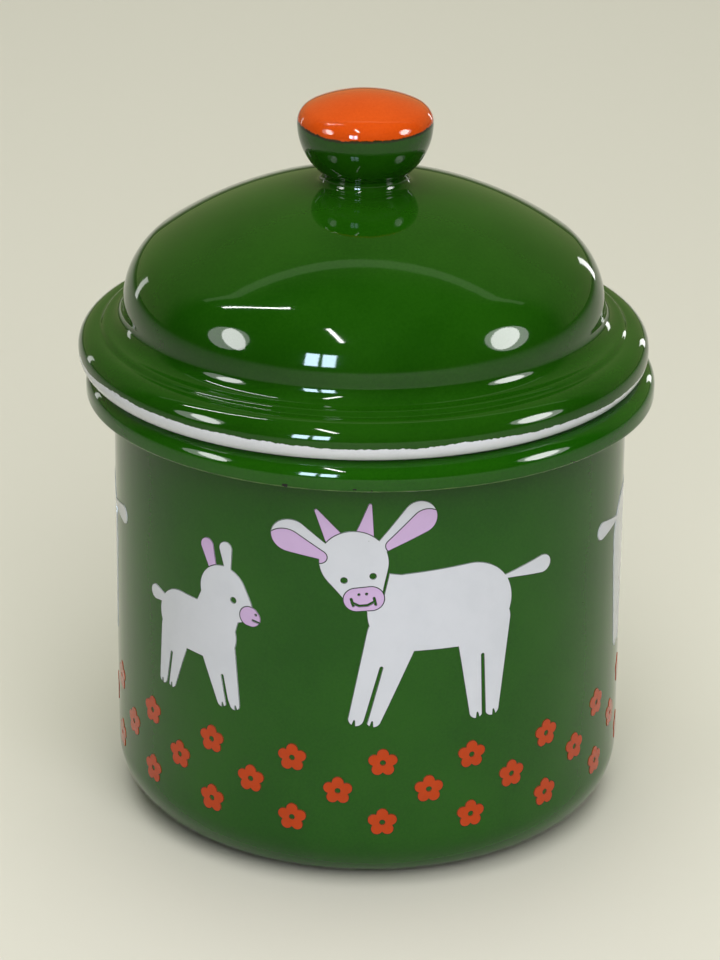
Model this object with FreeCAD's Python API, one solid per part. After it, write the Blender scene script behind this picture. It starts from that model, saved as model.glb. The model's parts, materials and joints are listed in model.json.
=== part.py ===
import FreeCAD, Part
import math
import os

# Enamelled steel coffee canister with a lift-off domed lid.
#
# Frame: millimetres, +Z up, origin on the canister's axis in the plane it stands on, and the
# side with the large goat faces -Y. The can is drawn from sheet steel with its mouth rolled
# outwards and down. The lid is a pressed dome with a flange and a rolled rim, a locating ring
# welded under it and a hollow knob welded on top. Every steel piece lies inside vitreous
# enamel: green outside, white inside, orange over the knob's cap. The pictures are fired
# transfers, thin layers that lie on the green enamel.

# ---- sheet and enamel ----
STEEL = 0.8  # sheet thickness of the can, the lid and the locating ring
KNOB_STEEL = 0.7
ENAMEL = 0.3  # thickness of each enamel coat
PRINT = 0.12  # thickness of a fired transfer

# ---- can ----
CAN_DIAMETER = 130.0  # outside of the finished wall
CAN_HEIGHT = 117.0  # from the foot to the crest of the lip
BASE_CORNER = 14.3  # outside radius between the base and the wall
FOOT_RING = 6.5  # width of the flat ring that the can stands on
PANEL_RISE = 1.6  # height of the base panel above the foot ring
PANEL_RUN = 4.0  # radial run of the slope between them
PANEL_BEND = 3.0
LIP_RADIUS = 4.2  # finished outside radius of the rolled lip
LIP_DROP = 6.9  # from the crest of the lip down to its cut edge
MOUTH_GREEN = 6.0  # the green enamel reaches this far down inside the mouth

# ---- lid ----
LID_SHIFT = -1.8  # the lid lies this far off the can's axis along X, in the ring's clearance
SEAT_GAP = 0.15  # between the lip's crest and the lid's rolled rim
RIM_RADIUS = 5.0  # finished outside radius of the rim's roll
RIM_INSET = 0.8  # the roll's centre lies this far inside the crest of the lip
RIM_RETURN = 0.4  # the sheet runs on this far past the bottom of the roll
WHITE_BAND = 4.1  # height of the white band on the outside of the rim
STEP_SETBACK = 5.6  # from the rim's outside in to the foot of the flange's step
STEP_RUN = 1.0
STEP_RISE = 1.15
STEP_TOP_BEND = 1.8
STEP_FOOT_BEND = 1.0
FLANGE_FALL = 0.3  # from the groove out to the step
DOME_INSET = 4.4  # the dome's side stands this far inside the can's wall
GROOVE_BEND = 4.2  # between the dome's side and the flange
DOME_SIDE = 0.6  # height of the plain side between the groove's bend and the dome's shoulder
DOME_SHOULDER = 18.2
DOME_CROWN = 92.0
RING_CLEARANCE = 2.2  # between the mouth and the locating ring, all round
RING_DEPTH = 9.0  # from the lip's crest down to the ring's lower edge
RING_LEAD = 1.0  # the ring's lower edge turns inwards by this much
RING_LEAD_HEIGHT = 1.6
RING_BEND = 2.0
VENT_DIAMETER = 2.5  # lets hot air out of the hollow knob while the enamel is fired

# ---- knob ----
KNOB_DIAMETER = 33.9
KNOB_RISE = 14.7  # from the top of the dome up to the knob's widest level
KNOB_SHOULDER = 4.6
KNOB_CROWN = 33.2
KNOB_BOWL_BEND = 15.8
KNOB_BOWL_CORNER = 7.6  # from the widest level down to the corner that the bowl's bend rounds
NECK_DIAMETER = 21.4
NECK_HEIGHT = 1.9  # from the top of the dome up to the corner where the neck meets the bowl
NECK_BEND = 1.5
GLAZE_FILLET = 1.8  # enamel that fills the corner between the neck and the dome
GLAZE_REACH = 3.2  # how far that fillet's foot lies outside the neck

# ---- flowers: three rows round the foot of the wall ----
FLOWERS_IN_ROW = 18
FLOWER_ROWS = {"upper": 21.0, "middle": 13.1, "lower": 4.6}  # row's centres above the base corner
FLOWER_TURN = {"upper": 3.5, "middle": 13.7, "lower": 3.5}  # degrees round from the front
PETALS = 5
PETAL_RADIUS = 1.58
PETAL_CIRCLE = 2.25  # radius of the circle that the petals' centres lie on
FLOWER_HEART = 0.62  # radius of the hole in each flower's middle

# ---- goats: a frieze round the wall ----
# places are degrees round from the front and the side the animal looks to: 1 right, -1 left
GROWN_GOATS = {"front": (12.5, -1), "left": (-100.0, -1), "right": (92.3, 1)}
KIDS = {"front": (-37.5, 1), "back": (178.0, -1)}
ANIMAL_RISE = 9.7  # from the upper flowers' centres up to the hooves
EAR_CLEARANCE = 5.2  # between the grown goats' ears and the level of the lip's cut edge
HEAD_GAP = 0.5  # green line between a grown goat's head and its body
DRAWN_RADIUS = 65.0  # the animals below are drawn for a wall of this radius
DRAWN_HEIGHT = 59.9  # from a grown goat's hooves to the top of its ears

# The animals are drawn flat, walking along +X, with their hooves at z = 0. Each limb is a
# tapered patch with round ends: x, z and radius at one end, then at the other.
GOAT_BODY = {
    "barrel": (4.0, 30.6, 10.4, -11.4, 31.2, 11.0),
    "neck": (11.0, 36.6, 4.8, 5.0, 31.4, 9.2),
    "tail": (-20.4, 36.8, 0.5, -31.0, 37.4, 2.4),
    "near_hind": (-17.0, 26.0, 5.2, -17.6, 1.9, 1.9),
    "far_hind": (-12.2, 24.0, 4.4, -13.4, 1.9, 1.9),
    "far_fore": (6.4, 23.0, 4.4, 12.6, 1.9, 1.9),
    "near_fore": (9.6, 25.0, 4.8, 16.8, 2.1, 1.9),
}
GOAT_HEAD = {
    "crown": (17.4, 44.0, 8.2, 15.5, 36.6, 4.8),
    "near_ear": (23.0, 45.6, 1.6, 32.0, 49.8, 4.3),
    "far_ear": (10.8, 48.2, 1.6, 1.8, 55.6, 4.3),
}
GOAT_LEG_GAPS = {
    "hind": (-14.8, 17.0, 0.35, -15.5, -1.0, 0.45),
    "fore": (10.8, 16.0, 0.35, 15.1, -1.0, 0.45),
}
GOAT_HOOF_SPLITS = {
    "near_hind": (-18.0, 1.5, 0.1, -18.3, -0.6, 0.55),
    "far_hind": (-13.7, 1.5, 0.1, -13.9, -0.6, 0.55),
    "far_fore": (12.9, 1.5, 0.1, 13.2, -0.6, 0.55),
    "near_fore": (17.2, 1.7, 0.1, 17.5, -0.4, 0.55),
}
GOAT_EYES = {"near": (19.8, 39.2, 0.75), "far": (13.0, 40.5, 0.75)}  # x, z and radius
GOAT_EAR_LININGS = {
    "near": (25.4, 45.0, 1.7, 33.2, 47.1, 4.4),
    "far": (8.4, 48.4, 1.7, -0.1, 53.3, 4.4),
}
GOAT_HORNS = {
    "near": (22.2, 50.2, 2.2, 26.2, 57.0, 0.5),
    "far": (15.0, 51.2, 2.2, 13.8, 59.0, 0.5),
}
GOAT_MUZZLE = (16.9, 34.2, 3.1, 13.4, 34.6, 3.2)
GOAT_NOSTRILS = {"near": (16.3, 35.6, 0.26), "far": (14.5, 35.8, 0.26)}
GOAT_MOUTH = {
    "middle": (14.2, 32.8, 0.24, 16.2, 32.6, 0.24),
    "near_corner": (16.2, 32.6, 0.24, 17.9, 33.4, 0.24),
    "far_corner": (14.2, 32.8, 0.24, 12.6, 33.8, 0.24),
    "near_cheek": (17.6, 32.6, 0.24, 18.1, 34.3, 0.24),
    "far_cheek": (12.3, 33.0, 0.24, 12.7, 34.7, 0.24),
}
KID_BODY = {
    "barrel": (-9.4, 20.2, 7.4, 1.4, 19.4, 7.4),
    "neck": (1.6, 21.6, 6.8, 4.6, 29.6, 6.0),
    "head": (4.8, 31.4, 6.9, 8.6, 28.6, 4.6),
    "tail": (-15.4, 23.6, 1.2, -18.8, 24.0, 2.0),
    "near_hind": (-12.6, 16.0, 3.9, -16.0, 1.5, 1.5),
    "far_hind": (-9.4, 15.0, 3.2, -12.6, 1.5, 1.45),
    "far_fore": (1.2, 15.0, 3.6, 4.4, 1.5, 1.45),
    "near_fore": (4.8, 16.0, 3.7, 8.2, 1.5, 1.5),
    "near_ear": (6.4, 38.0, 1.0, 5.8, 43.0, 1.9),
}
KID_LEG_GAPS = {
    "hind": (-12.6, 9.6, 0.3, -14.5, -1.0, 0.4),
    "fore": (4.6, 8.6, 0.3, 6.5, -1.0, 0.4),
}
KID_HOOF_SPLITS = {
    "near_hind": (-16.3, 1.2, 0.1, -16.5, -0.6, 0.45),
    "far_hind": (-12.8, 1.2, 0.1, -12.9, -0.6, 0.45),
    "far_fore": (4.6, 1.2, 0.1, 4.8, -0.6, 0.45),
    "near_fore": (8.4, 1.2, 0.1, 8.7, -0.6, 0.45),
}
KID_FAR_EAR = (1.8, 37.4, 1.2, 0.2, 42.6, 2.0)
KID_MUZZLE = (12.4, 26.5, 2.6, 13.1, 26.1, 2.3)
KID_MOUTH = (13.4, 25.6, 0.2, 15.0, 25.2, 0.2)
KID_NOSTRIL = (14.2, 27.2, 0.24)
KID_EYE = (8.0, 29.8, 0.75)

# ---- what follows from those sizes ----
WALL = STEEL + 2 * ENAMEL
CAN_RADIUS = CAN_DIAMETER / 2
MOUTH_RADIUS = CAN_RADIUS - WALL
LIP_CENTRE = MOUTH_RADIUS + LIP_RADIUS
LIP_OUTSIDE = LIP_CENTRE + LIP_RADIUS
RIM_CENTRE = LIP_CENTRE - RIM_INSET
RIM_OUTSIDE = RIM_CENTRE + RIM_RADIUS
RIM_BOTTOM = CAN_HEIGHT + SEAT_GAP
RIM_TOP = RIM_BOTTOM + 2 * RIM_RADIUS
BAND_TOP = RIM_BOTTOM + WHITE_BAND
DOME_RADIUS = CAN_RADIUS - DOME_INSET
GROOVE = RIM_TOP + STEP_RISE + FLANGE_FALL
DOME_LEVEL = GROOVE + GROOVE_BEND + DOME_SIDE
RING_OUTSIDE = MOUTH_RADIUS - RING_CLEARANCE
RING_BOTTOM = CAN_HEIGHT - RING_DEPTH
KNOB_RADIUS = KNOB_DIAMETER / 2
NECK_RADIUS = NECK_DIAMETER / 2
HOOVES = BASE_CORNER + FLOWER_ROWS["upper"] + ANIMAL_RISE
EAR_LEVEL = CAN_HEIGHT - LIP_DROP - EAR_CLEARANCE
ANIMAL_SCALE = min(CAN_RADIUS / DRAWN_RADIUS, (EAR_LEVEL - HOOVES) / DRAWN_HEIGHT)
BEYOND = 2 * (CAN_DIAMETER + CAN_HEIGHT)  # far outside everything
FLAT = 1e-6  # shorter than any real straight


# ---- outlines in the half plane r, z ----
def turns(corners):
    """Heading into each corner of a path, and the angle that the path turns there."""
    headings = []
    for (r0, z0, _), (r1, z1, _) in zip(corners, corners[1:]):
        headings.append(math.atan2(z1 - z0, r1 - r0))
    into = [headings[0]] + headings
    out = headings + [headings[-1]]
    return into, [math.remainder(b - a, 2 * math.pi) for a, b in zip(into, out)]


def fitted(corners):
    """The same corners, with bends made smaller where two of them need more than their straight."""
    _, angles = turns(corners)
    reaches = [bend * math.tan(abs(turn) / 2) for (_, _, bend), turn in zip(corners, angles)]
    share = [1.0] * len(corners)
    for i in range(len(corners) - 1):
        straight = math.hypot(corners[i + 1][0] - corners[i][0], corners[i + 1][1] - corners[i][1])
        need = reaches[i] + reaches[i + 1]
        if need > straight:
            share[i] = min(share[i], straight / need)
            share[i + 1] = min(share[i + 1], straight / need)
    return [(r, z, bend * part) for (r, z, bend), part in zip(corners, share)]


def outline(path, offset=0.0):
    """Edges of a path through corners (r, z, bend radius), moved to its left by offset."""
    corners = fitted(path)
    count = len(corners)
    moved = []
    for (r, z, bend), before, turn in zip(corners, *turns(corners)):
        middle = before + turn / 2 + math.pi / 2
        reach = offset / math.cos(turn / 2)
        point = FreeCAD.Vector(r + reach * math.cos(middle), 0, z + reach * math.sin(middle))
        moved.append((point, turn, bend - offset * math.copysign(1, turn) if bend else 0.0))
    edges = []
    last = moved[0][0]
    for i in range(1, count - 1):
        point, turn, bend = moved[i]
        reach = bend * math.tan(abs(turn) / 2)
        into = (point - moved[i - 1][0]).normalize()
        out = (moved[i + 1][0] - point).normalize()
        start = point - into * reach
        end = point + out * reach
        if (start - last).Length > FLAT:
            edges.append(Part.makeLine(last, start))
        else:
            start = last
        if bend > FLAT:
            inwards = (out - into).normalize()
            sagitta = bend / math.cos(turn / 2) - bend
            edges.append(Part.Arc(start, point + inwards * sagitta, end).toShape())
        last = end
    if (moved[-1][0] - last).Length > FLAT:
        edges.append(Part.makeLine(last, moved[-1][0]))
    return edges


def ends(edges):
    """The first and last points of a run of edges."""
    return edges[0].valueAt(edges[0].FirstParameter), edges[-1].valueAt(edges[-1].LastParameter)


def face(edges):
    """The flat face that a closed run of edges bounds, facing along -Y."""
    plane = Part.Plane(FreeCAD.Vector(), FreeCAD.Vector(0, -1, 0))
    return Part.Face(plane, Part.Wire(Part.__sortEdges__(edges)))


def united(*sections):
    """One section from several that touch or overlap."""
    whole = sections[0].multiFuse(list(sections[1:]))
    return Part.Shell(whole.Faces).removeSplitter()


def sheet(corners, near, far):
    """Section of a layer that lies between two offsets of one path."""
    one = outline(corners, near)
    other = outline(corners, far)
    (one_start, one_end), (other_start, other_end) = ends(one), ends(other)
    caps = [Part.makeLine(one_start, other_start), Part.makeLine(one_end, other_end)]
    return face(one + other + caps)


def enclosed(corners, offset, closing):
    """Region between a path, moved by offset, and the further corners that close it."""
    edges = outline(corners, offset)
    start, end = ends(edges)
    points = [end] + [FreeCAD.Vector(r, 0, z) for r, z in closing] + [start]
    return face(edges + [Part.makeLine(a, b) for a, b in zip(points, points[1:])])


def window(r_low, r_high, z_low, z_high):
    """A rectangle in the half plane."""
    corners = [(r_low, z_low), (r_high, z_low), (r_high, z_high), (r_low, z_high), (r_low, z_low)]
    return face([
        Part.makeLine(FreeCAD.Vector(a, 0, b), FreeCAD.Vector(c, 0, d))
        for (a, b), (c, d) in zip(corners, corners[1:])
    ])


def below(level):
    """Everything in the half plane under a level."""
    return window(0, BEYOND, -BEYOND, level)


def above(level):
    """Everything in the half plane over a level."""
    return window(0, BEYOND, level, BEYOND)


def spin(section, shift=0.0):
    """Turn a section into a solid of revolution on the axis at x = shift."""
    solids = []
    for part in section.Faces:
        solid = part.revolve(FreeCAD.Vector(0, 0, 0), FreeCAD.Vector(0, 0, 1), 360)
        solid = Part.Solid(Part.Shell(solid.Faces)) if not solid.Solids else solid.Solids[0]
        solids.append(solid)
    whole = Part.Compound(solids) if len(solids) > 1 else solids[0]
    whole.translate(FreeCAD.Vector(shift, 0, 0))
    return whole


# ---- can ----
def can_corners(end):
    """Path of the can's finished outside, from the axis to the cut edge of its lip."""
    foot_outer = CAN_RADIUS - BASE_CORNER
    foot_inner = foot_outer - FOOT_RING
    hook = LIP_RADIUS - WALL
    return [
        (0, PANEL_RISE, 0),
        (foot_inner - PANEL_RUN, PANEL_RISE, PANEL_BEND),
        (foot_inner, 0, PANEL_BEND),
        (CAN_RADIUS, 0, BASE_CORNER),
        (CAN_RADIUS, CAN_HEIGHT - WALL, hook),
        (CAN_RADIUS + 2 * hook, CAN_HEIGHT - WALL, hook),
        (CAN_RADIUS + 2 * hook, end, 0),
    ]


def can_sections():
    """Sections of the can's steel, green enamel and white enamel."""
    edge = CAN_HEIGHT - LIP_DROP
    whole = sheet(can_corners(edge), 0, WALL)
    steel = sheet(can_corners(edge + ENAMEL), ENAMEL, ENAMEL + STEEL)
    inside = sheet(can_corners(edge), ENAMEL + STEEL, WALL)
    white = inside.common(window(0, CAN_RADIUS, -BEYOND, CAN_HEIGHT - MOUTH_GREEN))
    green = whole.cut(steel).cut(white)
    return steel, green, white


# ---- lid ----
def crown_rise(radius, shoulder, crown):
    """Height of a two-radius dome whose shoulder leaves its side at the given radius."""
    return crown - math.sqrt((crown - shoulder) ** 2 - (radius - shoulder) ** 2)


def crown_corners(radius, level, shoulder, crown):
    """The first three corners of a path over such a dome, from the axis to its side."""
    top = level + crown_rise(radius, shoulder, crown)
    slope = math.asin((radius - shoulder) / (crown - shoulder))
    reach = crown * math.tan(slope / 2)
    return [
        (0, top, 0),
        (reach, top, crown),
        (radius, top - (radius - reach) * math.tan(slope), shoulder),
    ]


DOME_TOP = DOME_LEVEL + crown_rise(DOME_RADIUS, DOME_SHOULDER, DOME_CROWN)
KNOB_LEVEL = DOME_TOP + KNOB_RISE


def lid_corners(end):
    """Path of the lid's finished outside, from the top of the dome to the end of its rim."""
    step_foot = RIM_OUTSIDE - STEP_SETBACK
    step_top = step_foot - STEP_RUN
    return crown_corners(DOME_RADIUS, DOME_LEVEL, DOME_SHOULDER, DOME_CROWN) + [
        (DOME_RADIUS, GROOVE, GROOVE_BEND),
        (step_top, RIM_TOP + STEP_RISE, STEP_TOP_BEND),
        (step_foot, RIM_TOP, STEP_FOOT_BEND),
        (RIM_OUTSIDE, RIM_TOP, RIM_RADIUS),
        (RIM_OUTSIDE, RIM_BOTTOM, RIM_RADIUS),
        (end, RIM_BOTTOM, 0),
    ]


def ring_corners(short):
    """Path of the locating ring's finished outside, ending this much short of its lower edge."""
    rest = short / math.hypot(RING_LEAD, RING_LEAD_HEIGHT)
    return [
        (RING_OUTSIDE, DOME_LEVEL, 0),
        (RING_OUTSIDE, RING_BOTTOM + RING_LEAD_HEIGHT, RING_BEND),
        (RING_OUTSIDE - RING_LEAD * (1 - rest), RING_BOTTOM + RING_LEAD_HEIGHT * rest, 0),
    ]


def lid_sections():
    """Sections of the lid's steel, its locating ring and its white and outer enamel."""
    end = RIM_CENTRE - RIM_RETURN
    sky = [(BEYOND, RIM_BOTTOM), (BEYOND, BEYOND), (0, BEYOND)]
    steel = sheet(lid_corners(end + ENAMEL), -ENAMEL, -ENAMEL - STEEL)
    whole = sheet(lid_corners(end), 0, -WALL)
    inside = sheet(lid_corners(end), -ENAMEL - STEEL, -WALL)
    over_steel = enclosed(lid_corners(RIM_CENTRE), -ENAMEL - STEEL, sky)
    over_lid = enclosed(lid_corners(RIM_CENTRE), -WALL, sky)
    strip = sheet(ring_corners(0), 0, -WALL)
    ring = sheet(ring_corners(ENAMEL), -ENAMEL, -ENAMEL - STEEL).cut(over_steel)
    ring_coat = strip.cut(over_lid).cut(ring)
    coats = whole.cut(steel)
    band = coats.common(below(BAND_TOP))
    green = coats.cut(inside).cut(band)
    white = united(inside, band, ring_coat).cut(ring)
    return steel, ring, white, green


# ---- knob ----
def knob_corners():
    """Path of the knob's finished outside, from its top to the foot of the glaze fillet."""
    foot = NECK_RADIUS + GLAZE_REACH
    sag = DOME_CROWN - math.sqrt(DOME_CROWN**2 - NECK_RADIUS**2)
    foot_sag = DOME_CROWN - math.sqrt(DOME_CROWN**2 - foot**2)
    return crown_corners(KNOB_RADIUS, KNOB_LEVEL, KNOB_SHOULDER, KNOB_CROWN) + [
        (KNOB_RADIUS, KNOB_LEVEL - KNOB_BOWL_CORNER, KNOB_BOWL_BEND),
        (NECK_RADIUS, DOME_TOP + NECK_HEIGHT, NECK_BEND),
        (NECK_RADIUS, DOME_TOP - sag, GLAZE_FILLET),
        (foot, DOME_TOP - foot_sag, 0),
    ]


def knob_body(offset):
    """Region that the knob fills at an offset of its neck's outline, down into the dome."""
    corners = knob_corners()[:-2]
    straight = corners + [(NECK_RADIUS, DOME_TOP - KNOB_RISE, 0)]
    return enclosed(straight, offset, [(0, DOME_TOP - KNOB_RISE)])


def knob_sections(lid_coat):
    """Sections of the knob's bowl, cap and orange enamel, and the lid's green enamel."""
    floor = [(BEYOND, DOME_LEVEL - BEYOND), (0, DOME_LEVEL - BEYOND)]
    dome = enclosed(lid_corners(RIM_CENTRE), -ENAMEL, floor)
    outside = enclosed(knob_corners(), 0, [(0, DOME_TOP - KNOB_RISE)]).cut(dome)
    steel_outside = knob_body(-ENAMEL).cut(dome)
    shell = steel_outside.cut(knob_body(-ENAMEL - KNOB_STEEL))
    coat = outside.cut(steel_outside)
    orange = coat.common(above(KNOB_LEVEL))
    green = united(lid_coat, coat.cut(orange)).cut(steel_outside)
    bowl = shell.common(below(KNOB_LEVEL))
    cap = shell.common(above(KNOB_LEVEL))
    return bowl, cap, orange, green


# ---- prints: flat shapes at the front of the wall, wrapped on to it ----
def disc(x, z, radius):
    """A round flat patch in the plane y = 0."""
    circle = Part.makeCircle(radius, FreeCAD.Vector(x, 0, z), FreeCAD.Vector(0, -1, 0))
    return Part.Face(Part.Wire(circle))


def limb(x0, z0, radius0, x1, z1, radius1):
    """A tapered patch with round ends: what a string pulled round two discs encloses."""
    gap = math.hypot(x1 - x0, z1 - z0)
    heading = math.atan2(z1 - z0, x1 - x0)
    lean = math.acos((radius0 - radius1) / gap)
    points = []
    for x, z, radius, angles in (
        (x0, z0, radius0, (heading + lean, heading + math.pi, heading - lean)),
        (x1, z1, radius1, (heading - lean, heading, heading + lean)),
    ):
        for angle in angles:
            points.append(FreeCAD.Vector(x + radius * math.cos(angle), 0, z + radius * math.sin(angle)))
    a, b, c, d, e, f = points
    return face([
        Part.Arc(a, b, c).toShape(),
        Part.makeLine(c, d),
        Part.Arc(d, e, f).toShape(),
        Part.makeLine(f, a),
    ])


def merged(patches):
    """One flat shape from several patches that overlap."""
    return united(*patches) if len(patches) > 1 else patches[0]


def wrapped(flat, turn, facing=1):
    """Press a flat shape on to the wall as a thin layer, turned round from the front."""
    shape = flat if facing > 0 else flat.mirror(FreeCAD.Vector(), FreeCAD.Vector(1, 0, 0))
    block = shape.extrude(FreeCAD.Vector(0, -BEYOND, 0))
    layer = Part.makeCylinder(CAN_RADIUS + PRINT, CAN_HEIGHT)
    layer = layer.cut(Part.makeCylinder(CAN_RADIUS, CAN_HEIGHT))
    pressed = block.common(layer)
    pressed.rotate(FreeCAD.Vector(), FreeCAD.Vector(0, 0, 1), turn)
    return pressed


def flower(height):
    """Five round petals about a heart, with a hole where the green shows through."""
    petals = [disc(0, height, PETAL_CIRCLE)]
    for i in range(PETALS):
        angle = math.pi / 2 + i * 2 * math.pi / PETALS
        x = PETAL_CIRCLE * math.cos(angle)
        petals.append(disc(x, height + PETAL_CIRCLE * math.sin(angle), PETAL_RADIUS))
    return merged(petals).cut(disc(0, height, FLOWER_HEART))


def flower_row(height, first_turn):
    """A whole row of flowers round the wall."""
    one = wrapped(flower(height), first_turn)
    row = []
    for i in range(FLOWERS_IN_ROW):
        copy = one.copy()
        copy.rotate(FreeCAD.Vector(), FreeCAD.Vector(0, 0, 1), i * 360 / FLOWERS_IN_ROW)
        row.append(copy)
    return row


def limbs(group):
    """The tapered patches of a group of limbs."""
    return [limb(*sizes) for sizes in group.values()]


def discs(group):
    """The round patches of a group of spots."""
    return [disc(*sizes) for sizes in group.values()]


def grown_goat():
    """White and lilac shapes of a grown goat that walks to its right and looks outwards."""
    x0, z0, radius0, x1, z1, radius1 = GOAT_HEAD["crown"]
    outlined = limb(x0, z0, radius0 + HEAD_GAP, x1, z1, radius1 + HEAD_GAP)
    muzzle = limb(*GOAT_MUZZLE)
    head = merged(limbs(GOAT_HEAD))
    linings = [lining.common(head) for lining in limbs(GOAT_EAR_LININGS)]
    horns = [horn.cut(head) for horn in limbs(GOAT_HORNS)]
    gaps = limbs(GOAT_LEG_GAPS) + limbs(GOAT_HOOF_SPLITS)
    body = merged(limbs(GOAT_BODY)).cut([outlined, muzzle] + gaps)
    head = head.cut([muzzle] + linings + discs(GOAT_EYES))
    muzzle = muzzle.cut(limbs(GOAT_MOUTH) + discs(GOAT_NOSTRILS))
    return [body, head], linings + horns + [muzzle]


def kid():
    """White and lilac shapes of a kid that walks and looks to its right."""
    body = merged(limbs(KID_BODY))
    far_ear = limb(*KID_FAR_EAR).cut(body)
    muzzle = limb(*KID_MUZZLE)
    white = body.cut([muzzle, disc(*KID_EYE)] + limbs(KID_LEG_GAPS) + limbs(KID_HOOF_SPLITS))
    return [white], [far_ear, muzzle.cut([limb(*KID_MOUTH), disc(*KID_NOSTRIL)])]


def raised(shape):
    """A flat animal brought to the frieze's scale and lifted to its height on the wall."""
    lifted = shape.copy()
    lifted.scale(ANIMAL_SCALE)
    lifted.translate(FreeCAD.Vector(0, 0, HOOVES))
    return lifted


def frieze(prefix, shapes, places):
    """Nodes of one kind of animal: its white and its lilac shapes at each place."""
    nodes = {}
    for place, (turn, facing) in places.items():
        for colour, parts in zip(("white", "lilac"), shapes):
            layers = [wrapped(raised(part), turn, facing) for part in parts]
            nodes[f"{prefix}_{place}_{colour}_print"] = Part.Compound(layers)
    return nodes


# ---- the nodes ----
def build():
    """Every node of the canister, by name."""
    can_steel, can_green, can_white = can_sections()
    lid_steel, ring, lid_white, lid_coat = lid_sections()
    bowl, cap, orange, lid_green = knob_sections(lid_coat)
    vent_foot = FreeCAD.Vector(LID_SHIFT, 0, DOME_TOP - KNOB_RISE / 2)
    vent = Part.makeCylinder(VENT_DIAMETER / 2, KNOB_RISE, vent_foot)
    nodes = {
        "can_shell": spin(can_steel),
        "can_green_enamel": spin(can_green),
        "can_white_enamel": spin(can_white),
        "lid_shell": spin(lid_steel, LID_SHIFT).cut(vent),
        "lid_locating_ring": spin(ring, LID_SHIFT),
        "lid_green_enamel": spin(lid_green, LID_SHIFT),
        "lid_white_enamel": spin(lid_white, LID_SHIFT).cut(vent),
        "knob_bowl": spin(bowl, LID_SHIFT),
        "knob_cap": spin(cap, LID_SHIFT),
        "knob_orange_enamel": spin(orange, LID_SHIFT),
    }
    nodes.update(frieze("goat", grown_goat(), GROWN_GOATS))
    nodes.update(frieze("kid", kid(), KIDS))
    for row, height in FLOWER_ROWS.items():
        flowers = flower_row(BASE_CORNER + height, FLOWER_TURN[row])
        nodes[f"flowers_{row}_row_print"] = Part.Compound(flowers)
    return nodes


os.makedirs("parts", exist_ok=True)
for name, shape in build().items():
    shape.exportStep(f"parts/{name}.step")
    box = shape.BoundBox
    print(f"{name:28s} solids {len(shape.Solids):3d}  valid {shape.isValid()}  volume {shape.Volume:10.1f}"
          f"  z {box.ZMin:7.2f} to {box.ZMax:7.2f}  x {box.XMin:7.2f} to {box.XMax:7.2f}")
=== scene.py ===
"""Enamelled steel coffee canister with a lift-off domed lid.

The steel pieces are the frame's own. The enamel coats that cover them are spun here from
their outlines, the fired prints are smoothed copies of the frame's, and every surface is
dressed as glossy vitreous enamel. Metres, +Z up, the canister's axis on Z, front to -Y.
"""
import json
import logging
import math
from dataclasses import dataclass
from enum import Enum

import bmesh
import bpy
from mathutils import Euler, Matrix, Vector


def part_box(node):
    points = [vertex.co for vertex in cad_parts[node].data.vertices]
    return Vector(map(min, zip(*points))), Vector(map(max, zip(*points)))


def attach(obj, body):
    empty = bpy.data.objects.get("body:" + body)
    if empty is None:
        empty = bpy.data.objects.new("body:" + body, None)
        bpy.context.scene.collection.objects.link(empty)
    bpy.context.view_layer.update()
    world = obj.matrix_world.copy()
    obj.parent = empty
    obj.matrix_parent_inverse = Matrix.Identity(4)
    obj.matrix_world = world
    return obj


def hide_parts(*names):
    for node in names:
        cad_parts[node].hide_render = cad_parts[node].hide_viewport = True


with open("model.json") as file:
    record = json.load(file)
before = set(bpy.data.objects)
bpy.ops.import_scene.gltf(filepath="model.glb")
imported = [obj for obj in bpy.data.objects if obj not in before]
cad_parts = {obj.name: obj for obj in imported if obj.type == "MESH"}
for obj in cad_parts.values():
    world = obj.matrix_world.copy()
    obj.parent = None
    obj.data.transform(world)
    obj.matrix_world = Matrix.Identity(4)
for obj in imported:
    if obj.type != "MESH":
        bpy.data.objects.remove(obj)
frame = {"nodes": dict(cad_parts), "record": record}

logging.basicConfig(level=logging.INFO, format="%(message)s")
LOG = logging.getLogger("canister")

Vert = bmesh.types.BMVert
Form = bmesh.types.BMesh
Socket = bpy.types.NodeSocket
Colour = tuple[float, float, float]
Tint = Socket | Colour
Amount = Socket | float

MM = 0.001
FULL_TURN = 2 * math.pi
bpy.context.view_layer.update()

LEAST_RUN = 0.005 * MM  # a shorter straight of an outline is left out
LEAST_BEND = 0.01 * MM  # a bend of a smaller radius is left sharp
LEAST_TURN = 0.001  # and so is one that turns by less, in radians
ARC_STEPS = 3  # fewest edges that a bend is drawn with
MERGE = 0.001 * MM  # closer vertices of a coat are made one
SLIVER = 0.0005 * MM  # shorter edges of a coat are removed
PRINT_MERGE = 0.002 * MM  # the same limit for a print, which comes as loose triangles
SHARP_EDGE = math.radians(40)  # faces that meet at a larger angle are shaded apart
GLASS_IOR = 1.5
GLASS_SPECULAR = 0.3
LAMP_AIM = Vector((0, 0, 0.14))  # where every lamp points, a little above the lip


class Body(Enum):
    """The two rigid bodies of the canister."""

    CANISTER = "canister"
    LID = "lid"


class Side(Enum):
    """Which way an outline's second line lies, seen along its direction."""

    LEFT = 1
    RIGHT = -1


class Half(Enum):
    """Which half of a cut shape is kept."""

    UPPER = "upper"
    LOWER = "lower"


class Use(Enum):
    """What a studio lamp is there for."""

    WASH = "lights the surfaces evenly"
    GLINT = "is seen only as a reflection in the enamel"


# ---- outlines ----
@dataclass(frozen=True)
class Corner:
    """A corner of an outline in the half plane of radius and height.

    Attributes:
        r: Distance from the axis.
        z: Height.
        bend: Radius that rounds the corner; 0 leaves it sharp.
    """

    r: float
    z: float
    bend: float = 0.0

    def place(self) -> Vector:
        """The corner in the plane y = 0."""
        return Vector((self.r, 0, self.z))


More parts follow.
